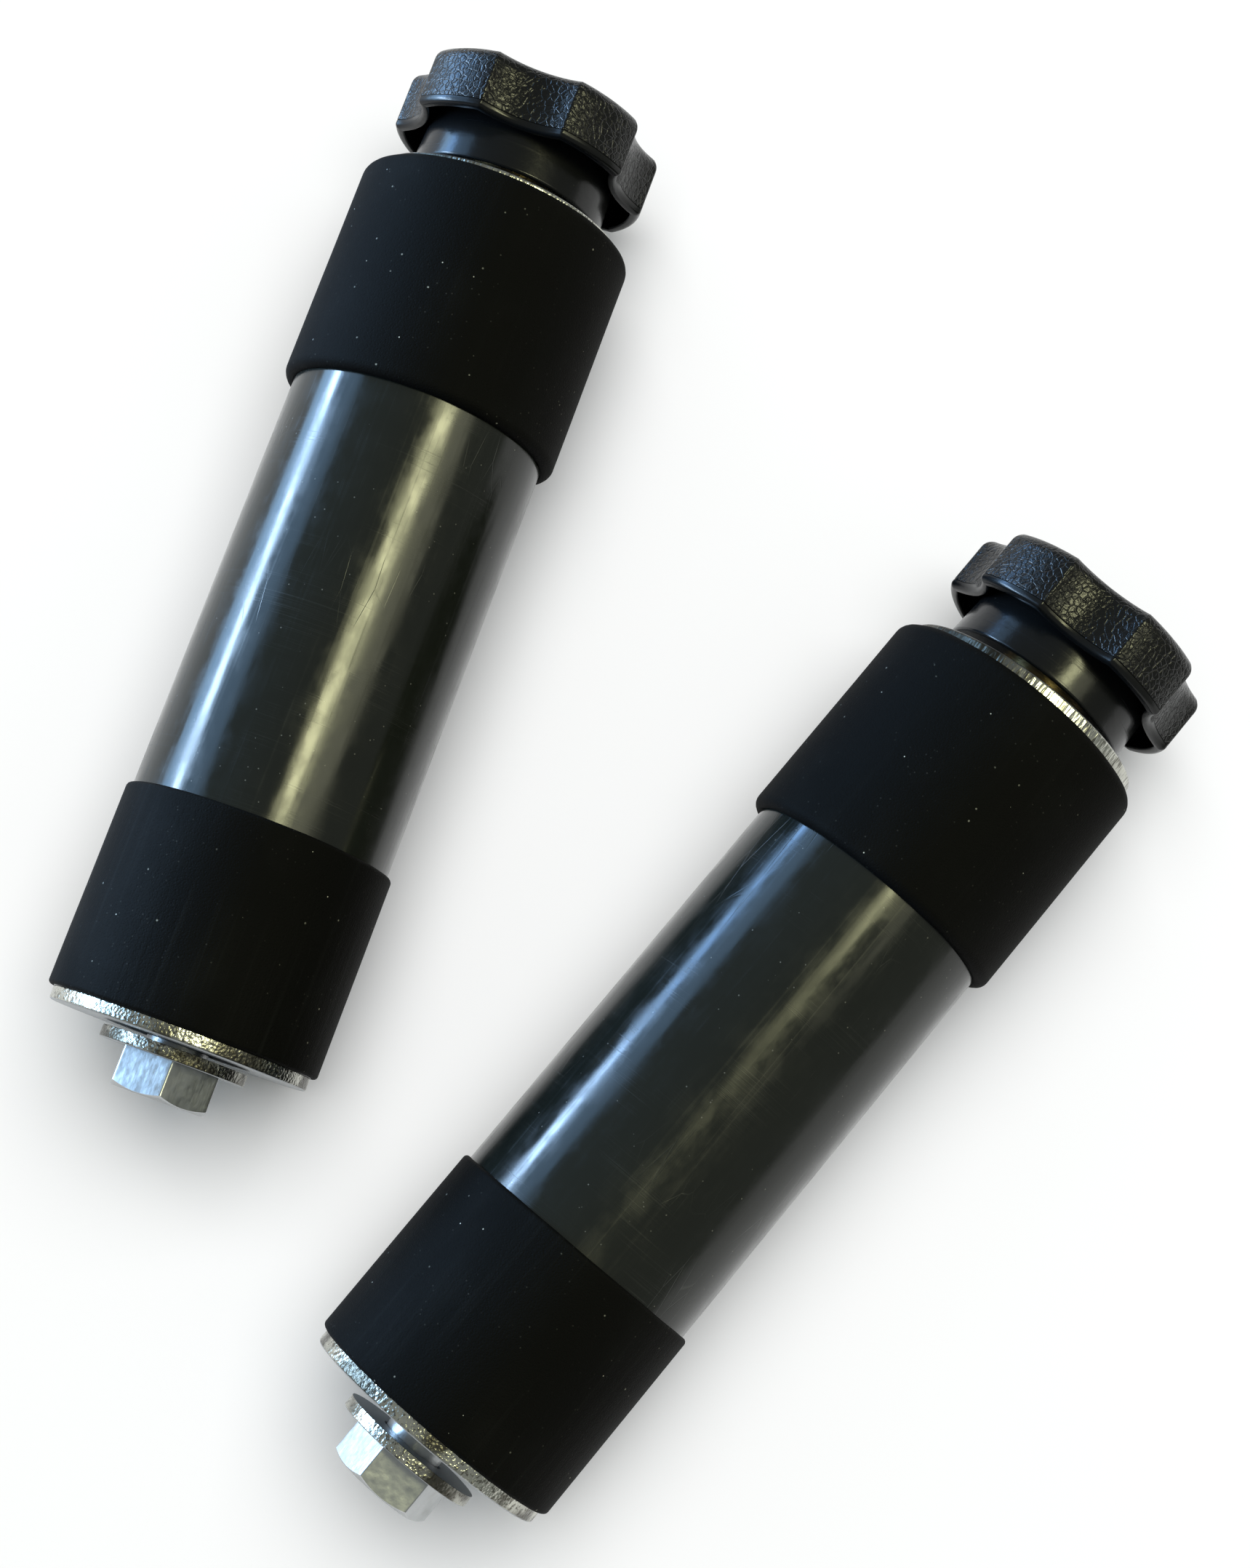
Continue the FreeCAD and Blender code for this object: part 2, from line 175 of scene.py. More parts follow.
def turn_outline(bm, corners, closed=True, steps=ROUND_STEPS):
    """Spins an outline of (radius, height) corners a full turn about Z."""
    verts = [bm.verts.new((radius, 0, height)) for radius, height in corners]
    pairs = list(zip(verts, verts[1:]))
    if closed:
        pairs.append((verts[-1], verts[0]))
    edges = [bm.edges.new(pair) for pair in pairs]
    bmesh.ops.spin(bm, geom=verts + edges, cent=(0, 0, 0), axis=(0, 0, 1), angle=2 * math.pi,
                   steps=steps, use_merge=True)
    bmesh.ops.remove_doubles(bm, verts=bm.verts, dist=NEAR)


def rim_edges(bm, radius, height):
    """The edges that run round the axis at this radius and height."""
    on_rim = {vertex for vertex in bm.verts if abs(vertex.co.xy.length - radius) < NEAR
              and abs(vertex.co.z - height) < NEAR}
    return [edge for edge in bm.edges if on_rim.issuperset(edge.verts)]


def round_off(bm, edges, offset, segments):
    """Rounds these edges over."""
    return bmesh.ops.bevel(bm, geom=edges, offset=offset, offset_type="OFFSET", affect="EDGES",
                           segments=segments, profile=0.5, material=-1, clamp_overlap=True)


def cut_across(bm, heights):
    """Cuts the whole shape by level planes, so that it can be shaped between them."""
    for height in heights:
        bmesh.ops.bisect_plane(bm, geom=bm.verts[:] + bm.edges[:] + bm.faces[:], dist=NEAR,
                               plane_co=(0, 0, height), plane_no=(0, 0, 1))


def evenly(low, high, count):
    """Heights that divide a length into this many parts, without its two ends."""
    return [low + (high - low) * i / count for i in range(1, count)]


def only(kind, items):
    """The items of one kind, verts or edges, from what an operator hands back."""
    return [item for item in items if isinstance(item, kind)]


def soft_noise(spot):
    """Smooth noise from 0 to 1."""
    return noise.noise(spot) * 0.5 + 0.5


def lay(bm, name, side, place, body, node, materials):
    """Finishes a shape made about the stick's axis and puts it where its CAD node is."""
    bmesh.ops.remove_doubles(bm, verts=bm.verts, dist=NEAR)
    bmesh.ops.recalc_face_normals(bm, faces=bm.faces)
    for face in bm.faces:
        face.smooth = True
    for edge in bm.edges:
        if len(edge.link_faces) == 2 and edge.calc_face_angle() > SHARP_ANGLE:
            edge.smooth = False
    on_stick = bm.verts.layers.float_vector.new("on_stick")
    for vertex in bm.verts:
        vertex[on_stick] = vertex.co + Vector((0, 0, GRAIN_SHIFT[side]))
    bmesh.ops.transform(bm, matrix=place, verts=bm.verts)
    mesh = bpy.data.meshes.new(name)
    bm.to_mesh(mesh)
    bm.free()
    for material in materials:
        mesh.materials.append(material)
    piece = bpy.data.objects.new(name, mesh)
    bpy.context.scene.collection.objects.link(piece)
    # broad flat faces keep their own shading, and the rounds between them take the turn
    flats = piece.modifiers.new("flats", "WEIGHTED_NORMAL")
    flats.keep_sharp = True
    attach(piece, body)
    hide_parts(node)
    return piece


# --- shader maths ---------------------------------------------------------------------------------

class Value:
    """A number that varies over a surface; Python's operators add Math nodes."""

    def __init__(self, finish, socket):
        self.finish = finish
        self.socket = socket

    def maths(self, operation, *inputs):
        """A Math node on these numbers and values."""
        return self.finish.node("ShaderNodeMath", {"operation": operation}, dict(enumerate(inputs)))

    def __add__(self, other):
        return self.maths("ADD", self, other)

    def __radd__(self, other):
        return self.maths("ADD", other, self)

    def __sub__(self, other):
        return self.maths("SUBTRACT", self, other)

    def __rsub__(self, other):
        return self.maths("SUBTRACT", other, self)

    def __mul__(self, other):
        return self.maths("MULTIPLY", self, other)

    def __rmul__(self, other):
        return self.maths("MULTIPLY", other, self)

    def step(self, low, high):
        """0 below low, 1 above high, and smooth between them."""
        settings = {"interpolation_type": "SMOOTHSTEP", "clamp": True}
        return self.finish.node("ShaderNodeMapRange", settings, {0: self, 1: low, 2: high})


class Finish:
    """A material with one Principled shader, and the one method that adds its nodes."""

    def __init__(self, name):
        self.material = bpy.data.materials.new(name)
        self.material.use_nodes = True
        self.tree = self.material.node_tree
        self.shader = self.tree.nodes["Principled BSDF"]

    def node(self, kind, settings=None, inputs=None, output=0):
        """Adds a node, sets it, then gives its sockets their values or links."""
        node = self.tree.nodes.new(kind)
        for name, setting in (settings or {}).items():
            setattr(node, name, setting)
        for name, entry in (inputs or {}).items():
            self.put(node.inputs[name], entry)
        return Value(self, node.outputs[output])

    def put(self, socket, entry):
        """Links a value to a socket, or sets a constant on it."""
        if isinstance(entry, Value):
            self.tree.links.new(entry.socket, socket)
        else:
            socket.default_value = entry

    def set(self, **inputs):
        """Shader inputs by name, with _ for a space."""
        for name, entry in inputs.items():
            self.put(self.shader.inputs[name.replace("_", " ")], entry)

    def on_stick(self, across, along=None):
        """The place on the stick, in features per metre across and along its axis, or one for both."""
        settings = {"attribute_type": "GEOMETRY", "attribute_name": "on_stick"}
        place = self.node("ShaderNodeAttribute", settings, output=1)
        return self.scaled(place, across, across if along is None else along)

    def on_object(self, scale):
        """The place on the object, in features per metre."""
        place = self.node("ShaderNodeTexCoord", output=3)
        return self.scaled(place, scale, scale)

    def scaled(self, place, across, along):
        """A place times these scales, the last of them along its Z."""
        return self.node("ShaderNodeVectorMath", {"operation": "MULTIPLY"},
                         {0: place, 1: (across, across, along)})

    def cloud(self, place, detail=3.0, roughness=0.55, distortion=0.0):
        """Soft noise from 0 to 1."""
        return self.node("ShaderNodeTexNoise", {"noise_dimensions": "3D"},
                         {"Vector": place, "Scale": 1.0, "Detail": detail, "Roughness": roughness,
                          "Distortion": distortion})

    def cells(self, place, feature="F1", randomness=1.0):
        """Distance to the nearest of scattered points, or to the edge between two of them."""
        return self.node("ShaderNodeTexVoronoi", {"feature": feature, "voronoi_dimensions": "3D"},
                         {"Vector": place, "Scale": 1.0, "Randomness": randomness})

    def specks(self, per_metre, core, edge):
        """1 within scattered specks' cores, and 0 past their edges."""
        return 1.0 - self.cells(self.on_stick(per_metre)).step(core, edge)

    def blend(self, factor, first, second):
        """One colour fading into another; the colours are sockets or (r, g, b)."""
        first, second = [colour if isinstance(colour, Value) else (*colour, 1.0)
                         for colour in (first, second)]
        return self.node("ShaderNodeMix", {"data_type": "RGBA"}, {0: factor, 6: first, 7: second},
                         output=2)

    def relief(self, height, depth, strength=1.0, under=None):
        """A bump whose height runs from 0 to 1 over this depth in metres."""
        inputs = {"Height": height, "Distance": depth, "Strength": strength}
        if under is not None:
            inputs["Normal"] = under
        return self.node("ShaderNodeBump", None, inputs)


# --- finishes -------------------------------------------------------------------------------------

def pipe_finish():
    """Extruded dark grey pipe: satin, with fine turned scratches, scuffs and specks of dust."""
    finish = Finish("dark_pipe")
    mottle = finish.cloud(finish.on_stick(60, 25), 4.0)
    bloom = finish.cloud(finish.on_stick(200, 120), 3.0, 0.6).step(0.36, 0.66)
    draw_lines = finish.cloud(finish.on_stick(1400, 9), 2.0)
    rings = finish.cloud(finish.on_stick(30, 5200), 2.0, 0.6)
    ring_patch = finish.cloud(finish.on_stick(55, 70), 3.0).step(0.46, 0.66)
    scuffs = finish.cloud(finish.on_stick(900, 120), 4.0, 0.6, 0.6)
    scuff_patch = finish.cloud(finish.on_stick(38, 30), 2.0).step(0.56, 0.74)
    hairline = finish.cells(finish.on_stick(260, 55), "DISTANCE_TO_EDGE")
    hairlines = (1.0 - hairline.step(0.0, 0.012)) * scuff_patch
    dust = finish.specks(420, 0.035, 0.075)
    marks = rings.step(0.52, 0.78) * ring_patch * 0.55 + scuffs.step(0.55, 0.8) * scuff_patch * 0.5
    colour = finish.blend(mottle, (0.0060, 0.0072, 0.0062), (0.0095, 0.0110, 0.0090))
    colour = finish.blend(marks * 0.35 + hairlines * 0.3, colour, (0.060, 0.064, 0.062))
    colour = finish.blend(dust * 0.6, colour, (0.16, 0.16, 0.15))
    finish.set(
        Base_Color=colour,
        Roughness=0.10 + 0.06 * mottle + 0.11 * bloom + 0.20 * marks
        + 0.10 * draw_lines.step(0.5, 0.8),
        IOR=1.40,
        Normal=finish.relief(
            rings * ring_patch * 0.5 + draw_lines * 0.25 + hairlines * -1.0, 0.022 * MM, 0.8,
            finish.relief(mottle, 0.14 * MM, 0.6)),
    )
    return finish.material


def rubber_finish(name, streaks):
    """Matte black rubber with a fine grain, pale lint and, on the stretched end, drawn streaks."""
    finish = Finish(name)
    grain = finish.cloud(finish.on_stick(3600), 3.0, 0.65)
    pits = finish.cells(finish.on_stick(2100))
    broad = finish.cloud(finish.on_stick(70, 60), 3.0)
    drawn = finish.cloud(finish.on_stick(750, 16), 3.0, 0.6)
    drawn_patch = finish.cloud(finish.on_stick(45, 25), 2.0).step(0.35, 0.62) * streaks
    lint_patch = finish.cloud(finish.on_stick(300), 1.0).step(0.50, 0.60)
    lint = finish.specks(330, 0.030, 0.085) * lint_patch
    fleck = finish.specks(190, 0.016, 0.029)
    powder = finish.specks(640, 0.05, 0.13) * broad.step(0.38, 0.62)
    chalk = broad.step(0.45, 0.80) * (0.4 + 0.6 * grain)
    colour = finish.blend(grain, (0.0016, 0.0017, 0.0017), (0.0040, 0.0040, 0.0038))
    colour = finish.blend(chalk * 0.35 + drawn.step(0.50, 0.78) * drawn_patch * 0.55, colour,
                          (0.0085, 0.0090, 0.0090))
    colour = finish.blend(powder * 0.30, colour, (0.075, 0.075, 0.070))
    colour = finish.blend(lint * 0.75, colour, (0.26, 0.26, 0.23))
    colour = finish.blend(fleck * 0.8, colour, (0.60, 0.59, 0.52))
    finish.set(
        Base_Color=colour,
        Roughness=0.62 + 0.22 * grain - 0.08 * drawn_patch,
        Specular_IOR_Level=0.045,
        Normal=finish.relief(
            grain * 0.6 + pits.step(0.0, 0.6) * 0.4 + drawn * drawn_patch * 0.9, 0.10 * MM, 0.9,
            finish.relief(broad, 0.25 * MM, 0.35)),
    )
    return finish.material


def knob_grip_finish():
    """The lobes' spark-eroded mould texture: coarse shiny pebbles in black plastic."""
    finish = Finish("knob_pebbled_plastic")
    pebbles = finish.cells(finish.on_stick(1350), "SMOOTH_F1", 0.95)
    crease = finish.cells(finish.on_stick(820), "DISTANCE_TO_EDGE")
    rough = finish.cloud(finish.on_stick(1400), 2.5, 0.58)
    patch = finish.cloud(finish.on_stick(90), 2.0)
    height = rough * 0.75 + (1.0 - pebbles) * 0.35 + crease.step(0.0, 0.12) * 0.35
    colour = finish.blend(patch, (0.0035, 0.0038, 0.0042), (0.0055, 0.0055, 0.0055))
    colour = finish.blend(rough.step(0.6, 0.85) * 0.4, colour, (0.011, 0.011, 0.010))
    finish.set(
        Base_Color=colour,
        Roughness=0.16 + 0.10 * rough,
        Specular_IOR_Level=0.25,
        Normal=finish.relief(height, 0.17 * MM, 0.9),
    )
    return finish.material


def knob_smooth_finish():
    """The hub and the rolled lip: plain moulded plastic with a faint orange peel and hairlines."""
    finish = Finish("knob_smooth_plastic")
    peel = finish.cloud(finish.on_stick(420), 2.0)
    fine = finish.cloud(finish.on_stick(2600), 3.0)
    rub = finish.cloud(finish.on_stick(80, 2400), 2.0).step(0.55, 0.8)
    specks = finish.specks(380, 0.02, 0.045)
    colour = finish.blend(peel, (0.0035, 0.0039, 0.0043), (0.0052, 0.0054, 0.0056))
    colour = finish.blend(specks * 0.6, colour, (0.12, 0.12, 0.11))
    finish.set(
        Base_Color=colour,
        Roughness=0.17 + 0.07 * fine + 0.12 * rub,
        Specular_IOR_Level=0.24,
        Normal=finish.relief(fine * 0.4 + rub * 0.3, 0.02 * MM, 0.6,
                             finish.relief(peel, 0.08 * MM, 0.4)),
    )
    return finish.material


def zinc_spangle(finish):
    """The patches that a zinc plate's crystals make."""
    return finish.cloud(finish.on_stick(210), 3.0, 0.6)


def zinc_colour(finish, spangle, bright, dull):
    """Zinc plate: patches of spangle from two greys, with the odd dark stain."""
    stain = finish.cloud(finish.on_stick(95), 4.0, 0.65).step(0.58, 0.78)
    colour = finish.blend(spangle, dull, bright)
    return finish.blend(stain * 0.45, colour, (0.13, 0.12, 0.10))


def zinc_face_finish():
    """A washer's flat faces: rolled, plated, lightly handled."""
    finish = Finish("zinc_plate_face")
    spangle = zinc_spangle(finish)
    colour = zinc_colour(finish, spangle, (0.42, 0.43, 0.43), (0.22, 0.24, 0.26))
    rolled = finish.cloud(finish.on_stick(1500), 3.0)
    scratch = 1.0 - finish.cells(finish.on_stick(240), "DISTANCE_TO_EDGE").step(0.0, 0.014)
    finish.set(
        Base_Color=colour,
        Metallic=1.0,
        Roughness=0.26 + 0.12 * rolled + 0.10 * spangle,
        Normal=finish.relief(rolled * 0.6 - scratch * 0.5, 0.02 * MM, 0.7),
    )
    return finish.material


def zinc_rim_finish(name, grain_along, unshaded_side=None):
    """A punched rim: torn along the washer's thickness, tarnished in patches, and, when a side is
    given, darkened by painted shade on the side away from it.
    """
    finish = Finish(name)
    colour = zinc_colour(finish, zinc_spangle(finish), (0.70, 0.70, 0.62), (0.30, 0.30, 0.26))
    torn = finish.cloud(finish.on_stick(1300, grain_along), 2.0, 0.6)
    bead = finish.cells(finish.on_stick(1600, grain_along * 1.4))
    wear_and_painted_shade = finish.cloud(finish.on_stick(80), 2.0).step(0.44, 0.58)
    # painted shade: on a top washer the rim darkens on the side facing away from the given side, added
    # to the real wear patches
    if unshaded_side:
        toward = finish.node("ShaderNodeVectorMath", {"operation": "DOT_PRODUCT"},
                             {0: finish.on_stick(1), 1: unshaded_side}, output=1)
        ragged = toward + RIM_SHADE_EDGE_WANDER * finish.cloud(finish.on_stick(160), 2.0)
        wear_and_painted_shade = 0.25 * wear_and_painted_shade + (1.0 - ragged.step(RIM_PAINTED_SHADE_TO, RIM_UNSHADED_FROM))
    pit = torn.step(0.52, 0.64)
    # real wear patches and, on the top washers, the painted shade darken the rim to this colour
    colour = finish.blend(wear_and_painted_shade * 0.90, colour, (0.045, 0.040, 0.030))
    colour = finish.blend(pit * 0.70, colour, (0.045, 0.038, 0.026))
    finish.set(
        Base_Color=colour,
        Metallic=1.0,
        Roughness=0.13 + 0.14 * torn + 0.10 * wear_and_painted_shade,
        Normal=finish.relief(torn * 0.9 + bead * 0.5, 0.18 * MM, 1.0),
    )
    return finish.material


def bolt_finish():
    """Plated, cold-forged bolt: satin, with shallow dents and forging marks."""
    finish = Finish("zinc_bolt")
    colour = zinc_colour(finish, zinc_spangle(finish), (0.52, 0.53, 0.53), (0.34, 0.36, 0.37))
    forge = finish.cloud(finish.on_stick(700), 4.0, 0.6)
    drawn = finish.cloud(finish.on_stick(2200, 40), 2.0)
    dent = finish.cloud(finish.on_stick(230), 2.0)
    finish.set(
        Base_Color=colour,
        Metallic=1.0,
        Roughness=0.22 + 0.20 * forge,
        Normal=finish.relief(forge * 0.7 + drawn * 0.3, 0.05 * MM, 0.8,
                             finish.relief(dent, 0.3 * MM, 0.6)),
    )
    return finish.material


def brass_finish():
    """Turned brass: fine tool rings and a slight tarnish."""
    finish = Finish("turned_brass")
    tarnish = finish.cloud(finish.on_object(130), 4.0, 0.6)
    tool = finish.cloud(finish.on_object(3000), 2.0)
    finish.set(
        Base_Color=finish.blend(tarnish, (0.78, 0.58, 0.25), (0.52, 0.36, 0.15)),
        Metallic=1.0,
        Roughness=0.22 + 0.18 * tarnish,
        Normal=finish.relief(tool, 0.02 * MM, 0.6),
    )
    return finish.material


def floor_finish():
    """A pale, matte surface with a barely visible tooth."""
    finish = Finish("pale_floor")
    tooth = finish.cloud(finish.on_object(900), 3.0)
    broad = finish.cloud(finish.on_object(6), 2.0)
    finish.set(
        Base_Color=finish.blend(broad, (0.90, 0.90, 0.90), (0.93, 0.93, 0.93)),
        Roughness=0.75 + 0.1 * tooth,
        Specular_IOR_Level=0.2,
        Normal=finish.relief(tooth, 0.03 * MM, 0.4),
    )
    return finish.material


# --- pieces ---------------------------------------------------------------------------------------

def make_pipe(side, place, finish):
    """The pipe, its ends lightly rounded."""
    low, high = span(side + "_tube", place)
    bm = bmesh.new()
    turn_outline(bm, [(PIPE_BORE, low), (PIPE_RADIUS, low), (PIPE_RADIUS, high), (PIPE_BORE, high)])
    rims = [edge for radius in (PIPE_BORE, PIPE_RADIUS) for height in (low, high)
            for edge in rim_edges(bm, radius, height)]
    round_off(bm, rims, PIPE_END_ROUND, segments=3)
    lay(bm, side + "_pipe", side, place, side + "_stick", side + "_tube", [finish])


def make_sleeve(side, place, end, edge_round, finish):
    """A rubber sleeve, cut by knife: its edges wander a little and its skin is not quite even."""
    node = "%s_%s_sleeve" % (side, end)
    low, high = span(node, place)
    radius = reach(node, place)
    bm = bmesh.new()
    bore = PIPE_RADIUS - SLEEVE_GRIP
    turn_outline(bm, [(bore, low), (radius, low), (radius, high), (bore, high)])
    outer = rim_edges(bm, radius, low) + rim_edges(bm, radius, high)
    round_off(bm, outer, edge_round, segments=6)
    mouths = rim_edges(bm, bore, low) + rim_edges(bm, bore, high)
    round_off(bm, mouths, SLEEVE_MOUTH_ROUND, segments=3)
    cut_across(bm, evenly(low, high, SLEEVE_BANDS))
    middle = (low + high) / 2
    for vertex in bm.verts:
        if vertex.co.xy.length < PIPE_RADIUS + NEAR:
            continue
        spot = vertex.co + Vector((0, 0, GRAIN_SHIFT[side]))
        swell = soft_noise(spot * SLEEVE_RIPPLE_SCALE)
        round_axis = Vector((spot.x, spot.y, 0))
        wander = soft_noise(round_axis * SLEEVE_CUT_SCALE + spot * SLEEVE_CUT_DRIFT)
        near_edge = (abs(vertex.co.z - middle) / (middle - low)) ** SLEEVE_CUT_FADE
        vertex.co.xy *= 1 - swell * SLEEVE_RIPPLE / radius
        vertex.co.z -= math.copysign(wander * SLEEVE_CUT_WAVE * near_edge, vertex.co.z - middle)
    lay(bm, "%s_%s_band" % (side, end), side, place, side + "_stick", node,
        [finish])


def make_washer(side, node, name, body, seat, radius, thickness, roll, face, rim):
    """A punched washer lying on its seat: rolled over at one face, torn on the rim."""
    bm = bmesh.new()
    turn_outline(bm, [(WASHER_HOLE, 0), (radius, 0), (radius, thickness), (WASHER_HOLE, thickness)],
                 steps=RIM_STEPS)
    rolled = rim_edges(bm, radius, thickness) + rim_edges(bm, WASHER_HOLE, thickness)
    round_off(bm, rolled, roll, segments=5)
    burred = rim_edges(bm, radius, 0) + rim_edges(bm, WASHER_HOLE, 0)
    round_off(bm, burred, WASHER_BURR, segments=2)
    cut_across(bm, evenly(WASHER_BURR, thickness - roll, RIM_BANDS))
    for vertex in bm.verts:
        if abs(vertex.co.xy.length - radius) < NEAR:
            spot = Vector((vertex.co.x, vertex.co.y, vertex.co.z * RIM_TEAR_STRETCH))
            vertex.co.xy *= 1 - soft_noise(spot * RIM_TEAR_SCALE) * RIM_TEAR / radius
    for flat in bm.faces:
        centre = flat.calc_center_median()
        outermost = centre.xy.length > radius - RIM_TEAR * 2
        sheared = outermost and abs(flat.normal.z) < RIM_STEEPNESS
        flat.material_index = 1 if sheared else 0
    lay(bm, name, side, seat, body, node, [face, rim])


def hexagon_reach(angle):
    """How far a hexagon across the head's flats reaches at this angle from a corner."""
    return HEAD_FLATS / 2 / math.cos(angle % (math.pi / 3) - math.pi / 6)


def make_bolt(side, place, finish):
    """A forged hex bolt with its head below zero, a plain shank and a rolled thread."""
    low, high = span(side + "_through_bolt", place)
    under_head = span(side + "_small_washer", place)[0]
    seat = place @ Matrix.Translation((0, 0, under_head))
    head_height = under_head - low
    length = high - under_head
    thread_start = length - THREAD_LENGTH
    bm = bmesh.new()
    turn_outline(bm, [
        (SHANK_RADIUS, 0),
        (SHANK_RADIUS, thread_start - THREAD_PITCH),
        (THREAD_ROOT, thread_start),
        (THREAD_ROOT, length - TIP_CHAMFER),
        (TIP_RADIUS, length),
        (0, length),
    ], closed=False, steps=BOLT_STEPS)
    shank_rim = rim_edges(bm, SHANK_RADIUS, 0)
    ring = bmesh.ops.create_circle(bm, segments=BOLT_STEPS, radius=HEAD_FLATS)["verts"]
    for vertex in ring:
        angle = math.atan2(vertex.co.y, vertex.co.x)
        distance = hexagon_reach(angle)
        vertex.co = Vector((distance * math.cos(angle), distance * math.sin(angle), 0))
    head_rim = [edge for edge in bm.edges if set(ring).issuperset(edge.verts)]
    bmesh.ops.bridge_loops(bm, edges=shank_rim + head_rim)
    flank = bmesh.ops.extrude_edge_only(bm, edges=head_rim)["geom"]
    for vertex in only(bmesh.types.BMVert, flank):
        drop = (vertex.co.xy.length - HEAD_FACE_RADIUS) * math.tan(HEAD_CHAMFER_ANGLE)
        vertex.co.z = -head_height + drop
    flank_rim = only(bmesh.types.BMEdge, flank)
    crown = bmesh.ops.extrude_edge_only(bm, edges=flank_rim)["geom"]
    for vertex in only(bmesh.types.BMVert, crown):
        vertex.co.xy *= HEAD_FACE_RADIUS / vertex.co.xy.length
        vertex.co.z = -head_height
    bmesh.ops.edgeloop_fill(bm, edges=only(bmesh.types.BMEdge, crown))
    corner_radius = HEAD_FLATS / math.sqrt(3)
    corners = [edge for edge in bm.edges if edge.calc_length() > head_height / 2
               and all(vertex.co.z < NEAR for vertex in edge.verts)
               and all(abs(vertex.co.xy.length - corner_radius) < NEAR for vertex in edge.verts)]
    round_off(bm, corners, HEAD_EDGE_ROUND, segments=3)
    bmesh.ops.rotate(bm, verts=bm.verts, cent=(0, 0, 0),
                     matrix=Matrix.Rotation(HEAD_TURN[side], 3, "Z"))
    cut_thread(bm, thread_start, length - TIP_CHAMFER - THREAD_PITCH)
    lay(bm, side + "_hex_bolt", side, seat, side + "_bolt", side + "_through_bolt",
        [finish])


def cut_thread(bm, low, high):
    """A rolled thread's ridge, wound round the shank's core as one screw."""
    foot = THREAD_ROOT - THREAD_SUNK
    profile = [
        (foot, -THREAD_FLANK), (SHANK_RADIUS, -THREAD_CREST), (SHANK_RADIUS, THREAD_CREST),
        (foot, THREAD_FLANK),
    ]
    turns = math.floor((high - low) / THREAD_PITCH)
    verts = [bm.verts.new((radius, 0, low + height)) for radius, height in profile]
    face = bm.faces.new(verts)
    bmesh.ops.spin(bm, geom=[face], cent=(0, 0, 0), axis=(0, 0, 1),
                   dvec=(0, 0, THREAD_PITCH / THREAD_STEPS), angle=2 * math.pi * turns,
                   steps=THREAD_STEPS * turns)


def draw_arc(bm, vertex, centre, angle, steps):
    """Draws an arc on from a vertex and returns the vertex at its far end."""
    drawn = bmesh.ops.spin(bm, geom=[vertex], cent=centre, axis=(0, 0, 1), angle=angle,
                           steps=steps)["geom_last"]
    return only(bmesh.types.BMVert, drawn)[0]


def draw_lobe(bm, inset, height):
    """One scoop and one lobe of the knob's outline, this far in from its side."""
    # the scoop is part of a circle this far out, which meets the lobe's circle at the crease
    far = KNOB_RADIUS - VALLEY_DEPTH + VALLEY_RADIUS
    lobe_radius = KNOB_RADIUS - inset
    scoop_radius = VALLEY_RADIUS + inset
    cosine = (lobe_radius ** 2 + far ** 2 - scoop_radius ** 2) / (2 * lobe_radius * far)
    crease = math.acos(cosine)
    scoop = math.asin(lobe_radius * math.sin(crease) / scoop_radius)
    already = set(bm.edges)
    start = lobe_radius * Vector((math.cos(crease), -math.sin(crease), 0))
    vertex = bm.verts.new(start + Vector((0, 0, height)))
    vertex = draw_arc(bm, vertex, (far, 0, height), -2 * scoop, VALLEY_STEPS)
    draw_arc(bm, vertex, (0, 0, height), 2 * math.pi / LOBES - 2 * crease, LOBE_STEPS)
    return [edge for edge in bm.edges if edge not in already]


def corner_round(inset, height, radius, start, turn, steps):
    """Stations (inset, height) round a quarter circle about this centre."""
    angles = [start + turn * i / steps for i in range(steps + 1)]
    return [(inset + radius * math.cos(angle), height + radius * math.sin(angle))
            for angle in angles]


def knob_stations(roof):
    """How far in from its side, and how high, the crown's skin runs from the hollow to the top."""
    quarter = math.pi / 2
    lip = LOBE_UNDERSIDE + LIP_ROUND
    parting = LOBE_UNDERSIDE + PARTING_HEIGHT
    inner = LOBE_WALL - LIP_MOUTH_ROUND
    mouth = corner_round(inner, LOBE_UNDERSIDE + LIP_MOUTH_ROUND, LIP_MOUTH_ROUND,
                         start=0, turn=-quarter, steps=4)
    rolled = corner_round(LIP_ROUND, lip, LIP_ROUND, start=-quarter, turn=-quarter, steps=7)
    groove = [(depth * PARTING_GROOVE, parting + rise * PARTING_GROOVE)
              for depth, rise in GROOVE_OUTLINE]
    shoulder = KNOB_HEIGHT - LOBE_ROUND
    crown_side = [(0, height)
                  for height in evenly(parting + PARTING_GROOVE * 2, shoulder, SIDE_STEPS)]
    top = corner_round(LOBE_ROUND, shoulder, LOBE_ROUND, start=math.pi, turn=-quarter, steps=12)
    hollow = [(LOBE_WALL, roof), (LOBE_WALL, (roof + LOBE_UNDERSIDE) / 2)]
    return hollow + mouth + rolled + groove + crown_side + top + [(TOP_RING_INSET, KNOB_HEIGHT)]


def is_upright(edge):
    """Whether an edge of the crown runs up its side, rather than round it."""
    first, second = [vertex.co for vertex in edge.verts]
    turn = math.atan2(first.y, first.x) - math.atan2(second.y, second.x)
    return abs(first.z - second.z) > NEAR and abs(turn) < UPRIGHT_TURN


